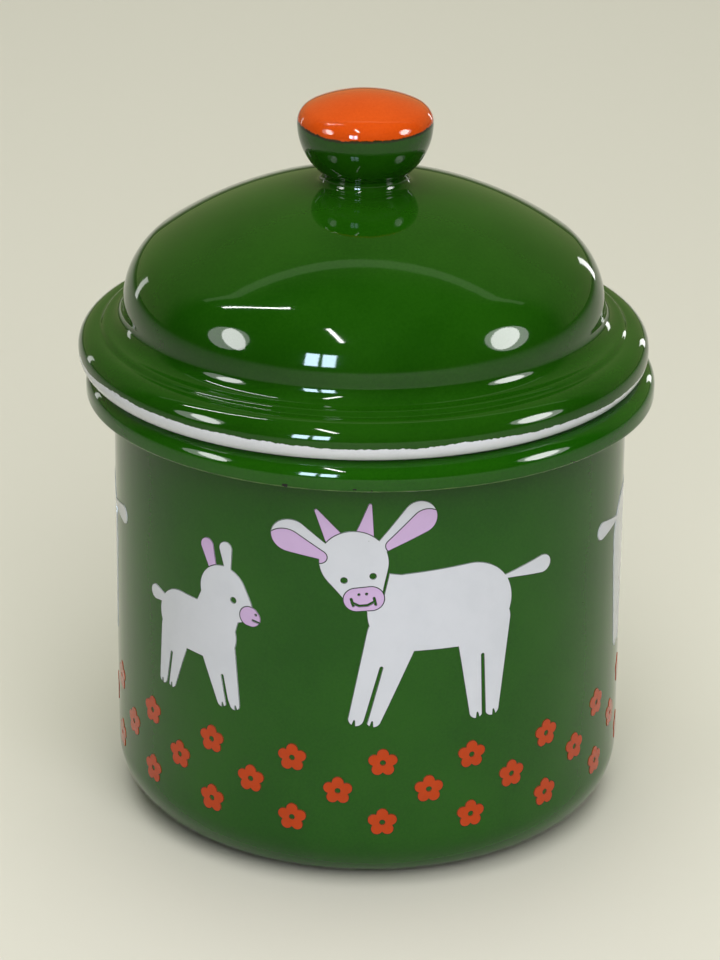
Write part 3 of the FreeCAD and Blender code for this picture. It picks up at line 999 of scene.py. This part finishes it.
@dataclass
class Lid:
    """The lid: a pressed dome with a flange, a rolled rim and a locating ring.

    Attributes:
        can: The can that it sits on.
        wall: Thickness of the enamelled sheet.
        enamel: Thickness of a coat.
        seat_gap: From the lip's crest up to the bottom of the rim.
        rim_radius: Outside radius of the rim's roll.
        rim_inset: How far the roll's centre lies inside the lip's crest; not used.
        rim_return: How far the sheet runs on past the bottom of the roll.
        white_band: Height of the white band on the outside of the rim.
        step_setback: From the rim's outside in to the foot of the flange's step.
        step_run: Radial run of the step.
        step_rise: Height of the step.
        step_top_bend: Radius of the bend at the top of the step.
        step_foot_bend: Radius of the bend at its foot.
        flange_fall: Fall of the flange from the groove out to the step.
        dome_inset: How far the dome's side stands inside the can's wall.
        groove_bend: Radius between the dome's side and the flange.
        dome_side: Height of the plain side under the shoulder.
        dome_shoulder: Radius of the dome's shoulder.
        dome_crown: Radius of the dome's crown.
        ring_clearance: Between the mouth and the locating ring.
        ring_depth: From the lip's crest down to the ring's lower edge.
        ring_lead: How far that edge turns inwards.
        ring_lead_height: Height over which it does.
        ring_bend: Radius of the bend over it.
        edge_bend: Radius of the enamel round a cut edge.
        weld_bend: Radius of the enamel in the ring's corners.
        vent: Radius of the vent under the knob.
    """

    can: Can
    wall: float = 1.4 * MM
    enamel: float = 0.3 * MM
    seat_gap: float = 0.15 * MM
    rim_radius: float = 5.0 * MM
    rim_inset: float = 0.8 * MM
    rim_return: float = 0.4 * MM
    white_band: float = 4.1 * MM
    step_setback: float = 5.6 * MM
    step_run: float = 1.0 * MM
    step_rise: float = 1.15 * MM
    step_top_bend: float = 1.8 * MM
    step_foot_bend: float = 1.0 * MM
    flange_fall: float = 0.3 * MM
    dome_inset: float = 4.4 * MM
    groove_bend: float = 4.2 * MM
    dome_side: float = 0.6 * MM
    dome_shoulder: float = 18.2 * MM
    dome_crown: float = 92.0 * MM
    ring_clearance: float = 2.2 * MM
    ring_depth: float = 9.0 * MM
    ring_lead: float = 1.0 * MM
    ring_lead_height: float = 1.6 * MM
    ring_bend: float = 2.0 * MM
    edge_bend: float = 0.5 * MM
    weld_bend: float = 0.5 * MM
    vent: float = 1.25 * MM

    def __post_init__(self) -> None:
        """Work out the lid's levels and its axis from the frame."""
        low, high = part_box("lid_green_enamel")
        self.spin = Spin(axis=(low.x + high.x) / 2)
        self.rim_outside = (high.x - low.x) / 2
        self.rim_bottom = self.can.height + self.seat_gap
        self.rim_top = self.rim_bottom + 2 * self.rim_radius
        self.band_top = self.rim_bottom + self.white_band
        self.groove = self.rim_top + self.step_rise + self.flange_fall
        self.level = self.groove + self.groove_bend + self.dome_side
        self.dome_radius = self.can.radius - self.dome_inset
        self.dome = Crown(self.dome_radius, self.level, self.dome_shoulder, self.dome_crown)

    def flange(self) -> tuple[Corner, ...]:
        """Corners of the outside, groove first.

        Returns:
            The corners from the groove to the rim's upper edge.
        """
        step_foot = self.rim_outside - self.step_setback
        step_top = self.rim_top + self.step_rise
        return (
            Corner(self.dome_radius, self.groove, self.groove_bend),
            Corner(step_foot - self.step_run, step_top, self.step_top_bend),
            Corner(step_foot, self.rim_top, self.step_foot_bend),
            Corner(self.rim_outside, self.rim_top, self.rim_radius),
        )

    def rim(self) -> tuple[Corner, ...]:
        """Corners of the outside, white band first.

        Returns:
            The corners from the white band to the rim's cut edge.
        """
        end = self.rim_outside - self.rim_radius - self.rim_return
        return (
            Corner(self.rim_outside, self.rim_bottom, self.rim_radius),
            Corner(end, self.rim_bottom),
        )

    def weld(self, radius: float) -> tuple[float, float]:
        """Where an upright wall at a radius meets the underside of the groove's bend.

        Args:
            radius: Radius of the wall.

        Returns:
            The angle round the bend from its lowest point, and the height.
        """
        bend = self.groove_bend + self.wall
        angle = math.asin((self.dome_radius + self.groove_bend - radius) / bend)
        return angle, self.groove + self.groove_bend - bend * math.cos(angle)

    def underside(self) -> Outline:
        """Underside of the lid with its locating ring.

        Returns:
            The outline from the rim's cut edge, round the ring, to the vent.
        """
        sheet = Outline(tuple(self.dome.corners(self.vent)) + self.flange() + self.rim())
        under = sheet.offset(-self.wall).reversed().corners
        edge, rim, dome = under[0], under[1:5], under[-3:]
        outside = self.can.radius - self.can.wall - self.ring_clearance
        inside = outside - self.wall
        bottom = self.can.height - self.ring_depth
        bend = self.groove_bend + self.wall
        centre = self.dome_radius + self.groove_bend
        angle, joint = self.weld(outside)
        inner_angle, inner_joint = self.weld(inside)
        inner_turn = math.pi / 2 - inner_angle
        inner_corner = self.level - self.dome_side - bend * math.tan(inner_turn / 2)
        return Outline((
            Corner(edge.r + self.wall, self.rim_bottom),
            Corner(edge.r, self.rim_bottom, self.edge_bend),
            Corner(edge.r, edge.z, self.edge_bend),
        ) + rim + (
            Corner(centre - bend * math.tan(angle / 2), self.groove - self.wall, bend),
            Corner(outside, joint, self.weld_bend),
            Corner(outside, bottom + self.ring_lead_height, self.ring_bend),
            Corner(outside - self.ring_lead, bottom, self.edge_bend),
            Corner(inside - self.ring_lead, bottom, self.edge_bend),
            Corner(inside, bottom + self.ring_lead_height, self.ring_bend),
            Corner(inside, inner_joint, self.weld_bend),
            Corner(self.dome_radius - self.wall, inner_corner, bend),
        ) + dome)

    def build(self, knob: "Knob", glaze: bpy.types.Material) -> None:
        """Make and dress the lid's coats.

        Args:
            knob: The knob, whose green lower half is one coat with the dome.
            glaze: The enamel of the lid's outside.
        """
        crown = tuple(self.dome.corners(knob.foot))
        seam, cut_edge = self.rim()
        end = Corner(cut_edge.r + self.wall, self.rim_bottom)
        outside = Outline(knob.bowl() + crown + self.flange() + (seam, end))
        green = self.spin.coat(outside, Side.RIGHT, self.enamel)
        piece = Piece("lid_green_coat", Spin.cut(green, self.band_top, Half.UPPER), Body.LID)
        piece.stand_for("lid_green_enamel").dress(glaze, "green_enamel")
        start = Corner(self.rim_outside - self.rim_radius, self.rim_top)
        roll = Outline((start, self.flange()[-1], seam, end))
        band = self.spin.coat(roll, Side.RIGHT, self.enamel)
        piece = Piece("lid_rim_white_band", Spin.cut(band, self.band_top, Half.LOWER), Body.LID)
        piece.stand_for("lid_white_enamel").dress(glaze, "white_enamel")
        white = self.spin.coat(self.underside(), Side.RIGHT, self.enamel)
        piece = Piece("lid_white_coat", white, Body.LID)
        piece.stand_for("lid_white_enamel").dress(WHITE.plain(), "white_enamel")


@dataclass
class Knob:
    """The hollow knob: a shallow orange cap over a green bowl on a short neck.

    Attributes:
        lid: The lid that it is welded to.
        shoulder: Radius of the cap's shoulder.
        crown: Radius of the cap's crown.
        bowl_bend: Radius of the bowl.
        bowl_corner: From the widest level down to the corner that the bowl's bend rounds.
        neck: Radius of the neck.
        neck_height: From the top of the dome up to the corner between neck and bowl.
        neck_bend: Radius of that corner.
        fillet: Radius of the enamel that fills the corner between neck and dome.
        fillet_reach: How far the fillet's foot lies outside the neck.
    """

    lid: Lid
    shoulder: float = 4.6 * MM
    crown: float = 33.2 * MM
    bowl_bend: float = 15.8 * MM
    bowl_corner: float = 7.6 * MM
    neck: float = 10.7 * MM
    neck_height: float = 1.9 * MM
    neck_bend: float = 1.5 * MM
    fillet: float = 1.8 * MM
    fillet_reach: float = 3.2 * MM

    def __post_init__(self) -> None:
        """Take the knob's level and width from the frame."""
        low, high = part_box("knob_orange_enamel")
        self.level = low.z
        self.cap = Crown((high.x - low.x) / 2, self.level, self.shoulder, self.crown)
        self.foot = self.neck + self.fillet_reach

    def bowl(self) -> tuple[Corner, ...]:
        """Corners of the green outside, top first.

        Returns:
            The corners from the widest level down to the dome.
        """
        dome = self.lid.dome
        slope = math.asin(self.foot / dome.crown)
        fillet_level = dome.height(self.foot) + self.fillet_reach * math.tan(slope)
        return (
            Corner(self.cap.radius, self.level),
            Corner(self.cap.radius, self.level - self.bowl_corner, self.bowl_bend),
            Corner(self.neck, dome.top() + self.neck_height, self.neck_bend),
            Corner(self.neck, fillet_level, self.fillet),
        )

    def build(self, glaze: bpy.types.Material) -> None:
        """Make and dress the knob's orange coat.

        Args:
            glaze: The enamel of the lid's outside.
        """
        outline = Outline(tuple(self.cap.corners()) + (Corner(self.cap.radius, self.level),))
        orange = self.lid.spin.coat(outline, Side.RIGHT, self.lid.enamel)
        piece = Piece("knob_orange_coat", orange, Body.LID)
        piece.stand_for("knob_orange_enamel").dress(glaze, "orange_enamel")


@dataclass
class Frieze:
    """The fired prints on the wall: goats, kids and three rows of flowers.

    Attributes:
        can: The can that they lie on.
        strip: Width of the strips that a print is divided into, in degrees.
        outline: Width of the dark line along each print's edge.
    """

    can: Can
    strip: float = 2.0
    outline: float = 0.13 * MM

    def pressed(self, node: str) -> Form:
        """A print as the frame has it, made to follow the wall's curve exactly.

        Args:
            node: Name of the frame's node.

        Returns:
            The finished print.
        """
        form = bmesh.new()
        form.from_mesh(frame["nodes"][node].data)
        bmesh.ops.remove_doubles(form, verts=form.verts[:], dist=PRINT_MERGE)
        bmesh.ops.dissolve_degenerate(form, edges=form.edges[:], dist=PRINT_MERGE)
        bmesh.ops.recalc_face_normals(form, faces=form.faces[:])
        thickness = max(v.co.xy.length for v in form.verts) - self.can.radius
        face_level = self.can.radius + thickness / 2
        outside = [f for f in form.faces if all(v.co.xy.length > face_level for v in f.verts)]
        # The line comes before the strips, because an inset over narrow strips leaves slits.
        edged = bmesh.ops.inset_region(
            form, faces=outside, thickness=self.outline,
            use_boundary=True, use_even_offset=False,
        )
        for face in edged["faces"]:
            face.material_index = 1
        low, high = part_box(node)
        for i in range(int(180 / self.strip)):
            angle = math.radians(i * self.strip)
            bmesh.ops.bisect_plane(
                form, geom=form.verts[:] + form.edges[:] + form.faces[:], dist=SLIVER,
                plane_co=(0, 0, 0), plane_no=(math.sin(angle), math.cos(angle), 0),
            )
        for vert in form.verts:
            outer = vert.co.xy.length > face_level
            vert.co.xy *= (self.can.radius + (thickness if outer else 0)) / vert.co.xy.length
        bmesh.ops.recalc_face_normals(form, faces=form.faces[:])
        LOG.info("%s spans %.1f mm in height", node, (high.z - low.z) / MM)
        return form

    def build(self, finishes: dict[str, Transfer], outline: Transfer) -> None:
        """Make and dress every print.

        Args:
            finishes: Finish of each of the record's print slots.
            outline: Finish of the line along their edges.
        """
        dressed = {slot: finish.dressed() for slot, finish in finishes.items()}
        edging = outline.dressed()
        for part in frame["record"]["subparts"]:
            node, slot = part["node"], part["material_slot"]
            if slot in dressed:
                name = node.replace("_print", "_transfer")
                piece = Piece(name, self.pressed(node), Body.CANISTER)
                piece.stand_for(node).dress(dressed[slot], slot)
                piece.object.data.materials.append(edging)


PRINTS = {
    "white_print": Transfer("white_print", linear(207, 210, 221), linear(198, 202, 213)),
    "lilac_print": Transfer("lilac_print", linear(201, 173, 217), linear(192, 165, 207)),
    "orange_print": Transfer("orange_print", linear(184, 60, 3), linear(164, 53, 2)),
}
PRINT_EDGE = Transfer("print_edge", linear(10, 34, 26), linear(20, 48, 30), 0.14)


# ---- studio ----
@dataclass(frozen=True)
class Lamp:
    """A soft area lamp that faces the canister.

    Attributes:
        name: Its name.
        azimuth: Degrees round from the front, positive to the right.
        elevation: Degrees above the horizon.
        width: Its width in metres.
        height: Its height.
        power: Its power in watts.
        use: What it is there for.
        colour: Its colour.
        round: Whether it is an ellipse.
        tilt: Turn about its own axis, in degrees.
        distance: From the middle of the canister.
    """

    name: str
    azimuth: float
    elevation: float
    width: float
    height: float
    power: float
    use: Use = Use.GLINT
    colour: Colour = (1.0, 1.0, 1.0)
    round: bool = False
    tilt: float = 0.0
    distance: float = 1.6

    def hang(self) -> None:
        """Put the lamp in the scene."""
        data = bpy.data.lights.new(self.name, "AREA")
        data.shape = "ELLIPSE" if self.round else "RECTANGLE"
        data.size, data.size_y = self.width, self.height
        data.energy, data.color = self.power, self.colour
        lamp = bpy.data.objects.new(self.name, data)
        turn, rise = math.radians(self.azimuth), math.radians(self.elevation)
        level = math.cos(rise)
        away = Vector((math.sin(turn) * level, -math.cos(turn) * level, math.sin(rise)))
        tilted = Matrix.Rotation(math.radians(self.tilt), 3, "Z")
        aim = away.to_track_quat("Z", "Y").to_matrix() @ tilted
        lamp.matrix_world = Matrix.Translation(LAMP_AIM + away * self.distance) @ aim.to_4x4()
        lamp.visible_glossy = self.use is Use.GLINT
        lamp.visible_diffuse = self.use is Use.WASH
        bpy.context.scene.collection.objects.link(lamp)


LAMPS = (
    Lamp("overhead", 0, 80, 1.6, 1.6, 24, Use.WASH),
    Lamp("front_fill", 10, 35, 1.4, 1.0, 19, Use.WASH),
    Lamp("back_fill", 180, 35, 1.4, 1.0, 6, Use.WASH),
    Lamp("window_left_pane", -23.5, 12, 0.17, 0.5, 12, colour=(0.62, 0.82, 1.0)),
    Lamp("window_right_pane", -15.5, 12, 0.17, 0.5, 12, colour=(0.62, 0.82, 1.0)),
    Lamp("strip", -17, 50, 0.05, 0.6, 6, tilt=24),
    Lamp("left_glow", -67, 18, 0.6, 0.8, 6, round=True),
    Lamp("left_core", -64, 19, 0.32, 0.7, 10, round=True, tilt=25, distance=1.55),
    Lamp("right_glow", 72, 17, 0.66, 0.85, 9, round=True),
    Lamp("right_core", 71, 18, 0.42, 0.7, 14, round=True, tilt=-20, distance=1.55),
    Lamp("left_tube", -97, 58, 0.035, 0.7, 5, tilt=3),
    Lamp("ceiling_edge", 180, 71, 3.4, 0.1, 1.0, colour=(0.75, 0.95, 0.6)),
    Lamp("left_slit", -135, 2, 0.1, 0.5, 0.5),
    Lamp("right_slit", 150, 1, 0.1, 0.5, 0.8),
)


@dataclass(frozen=True)
class Floor:
    """A plain pale floor with no shine of its own.

    Attributes:
        reach: From its middle to its edge.
        colour: Its colour.
        roughness: How matt it is.
    """

    reach: float = 12.0
    colour: Colour = linear(209, 206, 195)
    roughness: float = 0.8

    def lay(self) -> None:
        """Put the floor in the scene."""
        form = bmesh.new()
        bmesh.ops.create_grid(form, x_segments=1, y_segments=1, size=self.reach)
        mesh = bpy.data.meshes.new("floor")
        form.to_mesh(mesh)
        form.free()
        floor = bpy.data.objects.new("floor", mesh)
        bpy.context.scene.collection.objects.link(floor)
        bench = Bench("floor")
        bench.shader.inputs["Base Color"].default_value = (*self.colour, 1.0)
        bench.shader.inputs["Roughness"].default_value = self.roughness
        bench.shader.inputs["Specular IOR Level"].default_value = 0.0
        mesh.materials.append(bench.material)


@dataclass(frozen=True)
class Room:
    """The dim room round the canister, whose far wall is pale green.

    Attributes:
        near: Colour of the room in front and at the sides.
        far: Colour of the far wall.
        fade: Where the one turns into the other, as the Y of a direction.
    """

    near: Colour = linear(52, 54, 40)
    far: Colour = linear(150, 158, 110)
    fade: tuple[float, float] = (0.15, 0.42)

    def light(self) -> None:
        """Make the room the scene's world."""
        world = bpy.data.worlds.new("studio")
        world.use_nodes = True
        nodes, links = world.node_tree.nodes, world.node_tree.links
        parts = nodes.new("ShaderNodeSeparateXYZ")
        links.new(nodes.new("ShaderNodeTexCoord").outputs["Generated"], parts.inputs[0])
        fade = nodes.new("ShaderNodeMapRange")
        fade.interpolation_type = "SMOOTHSTEP"
        for name, edge in zip(("From Min", "From Max"), self.fade):
            fade.inputs[name].default_value = edge
        links.new(parts.outputs["Y"], fade.inputs["Value"])
        blend = nodes.new("ShaderNodeMix")
        blend.data_type = "RGBA"
        near, far = (socket for socket in blend.inputs if socket.type == "RGBA")
        near.default_value = (*self.near, 1.0)
        far.default_value = (*self.far, 1.0)
        links.new(fade.outputs["Result"], blend.inputs["Factor"])
        mixed = next(socket for socket in blend.outputs if socket.type == "RGBA")
        links.new(mixed, nodes["Background"].inputs["Color"])
        bpy.context.scene.world = world
        bpy.context.scene.view_settings.view_transform = "Standard"


@dataclass(frozen=True)
class Camera:
    """A long lens that looks a little down on the canister's front.

    Attributes:
        lens: Focal length in millimetres.
        sensor: Width of the sensor in millimetres.
        stand: Where the camera stands.
        pitch: How far it looks down, in degrees.
        yaw: How far it is turned to the left, in degrees.
        roll: How far it is turned about its lens, in degrees.
    """

    lens: float = 150.0
    sensor: float = 36.0
    stand: tuple[float, float, float] = (0.0, -0.94888, 0.47469)
    pitch: float = 22.3897
    yaw: float = 0.1452
    roll: float = 0.469

    def place(self) -> None:
        """Put the camera in the scene and make it the scene's own."""
        data = bpy.data.cameras.new("camera")
        data.lens, data.sensor_width = self.lens, self.sensor
        camera = bpy.data.objects.new("camera", data)
        look = Euler((math.radians(90 - self.pitch), 0, math.radians(self.yaw))).to_matrix()
        turned = look @ Matrix.Rotation(math.radians(self.roll), 3, "Z")
        camera.matrix_world = Matrix.Translation(self.stand) @ turned.to_4x4()
        bpy.context.scene.collection.objects.link(camera)
        bpy.context.scene.camera = camera


def main() -> None:
    """Build the canister's pieces in order, then the studio round it."""
    can = Can()
    can.build()
    lid = Lid(can)
    knob = Knob(lid)
    knob_line = DipLine(knob.level, 3.2 * MM, 1.2 * MM, 0.5 * MM)
    band_line = DipLine(lid.band_top, 2.0 * MM, 1.1 * MM, 0.1 * MM, slope=0.009)
    glaze = LidGlaze(knob_line, band_line).dressed()
    lid.build(knob, glaze)
    knob.build(glaze)
    Frieze(can).build(PRINTS, PRINT_EDGE)
    steel = Steel().dressed()
    for part in frame["record"]["subparts"]:
        if part["material_slot"] == "steel":
            mesh = frame["nodes"][part["node"]].data
            mesh.materials.clear()
            mesh.materials.append(steel)
    Floor().lay()
    Room().light()
    for lamp in LAMPS:
        lamp.hang()
    Camera().place()


if __name__ == "__main__":
    main()
